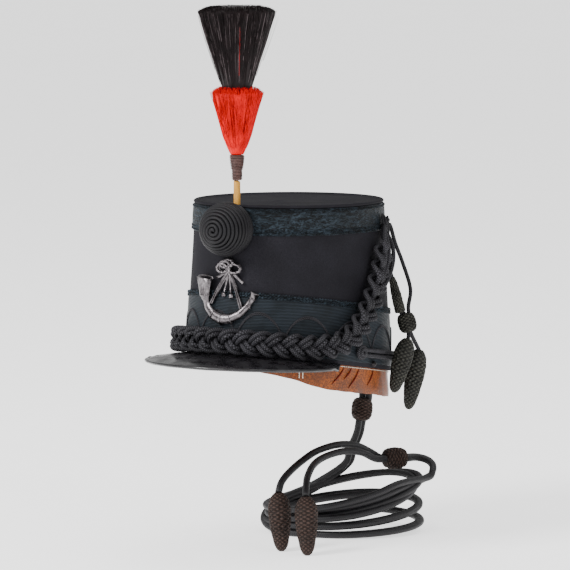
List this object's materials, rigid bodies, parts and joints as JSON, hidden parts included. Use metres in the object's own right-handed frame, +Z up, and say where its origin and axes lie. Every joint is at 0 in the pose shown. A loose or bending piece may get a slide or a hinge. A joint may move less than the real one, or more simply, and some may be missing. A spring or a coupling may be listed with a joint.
{
  "type": "shako hat",
  "caption": "Tapered cloth-covered military cap with a leather peak, corded front boss, horn badge, horsehair plume, plaited cords and coiled body lines with netted acorns.",
  "frame": {"origin": "middle of the head opening, where a head carries the hat", "axes": "+Z up, -Y to the front, over the peak, and +X to the wearer's left"},
  "size_m": [0.1931, 0.2851, 0.4544],
  "materials": {
    "cloth": "fine black wool cloth over felt",
    "lace": "ribbed blue-black mohair lace",
    "patent_leather": "black patent, worn dull along the edge",
    "tan_leather": "tan sheepskin, creased and stained",
    "cord": "braided black cord",
    "netting": "faded brown-black silk netting",
    "bronze": "blackened bronze, bright where rubbed",
    "cane": "yellow cane",
    "red_hair": "red horsehair",
    "black_hair": "black horsehair"
  },
  "bodies": {
    "root": {"crown_side": "cloth", "crown_top": "cloth", "upper_band": "lace", "lower_band": "lace", "peak": "patent_leather", "sweatband": "tan_leather", "boss": "cord", "plait_strand_1": "cord", "plait_strand_2": "cord", "plait_strand_3": "cord", "side_knot_left": "cord", "side_knot_right": "cord", "rim_cord_lower": "cord", "rim_cord_upper": "cord", "tassel_cord_inner": "cord", "tassel_cord_outer": "cord", "tassel_tail_1": "cord", "tassel_tail_2": "cord", "line_back_1": "cord", "line_back_2": "cord", "line_drop_1": "cord", "line_drop_2": "cord", "line_coil": "cord", "line_end_1": "cord", "line_end_2": "cord", "tassel_sleeve": "netting", "tassel_slide": "netting", "hanging_acorn_1": "netting", "hanging_acorn_2": "netting", "line_slide_upper": "netting", "line_slide_lower": "netting", "line_acorn_1": "netting", "line_acorn_2": "netting", "plume_ferrule": "netting", "bugle_badge": "bronze", "peak_stud_left": "bronze", "peak_stud_right": "bronze", "back_ring": "bronze", "plume_stem": "cane", "plume_red": "red_hair", "plume_black": "black_hair"}
  },
  "joints": []
}
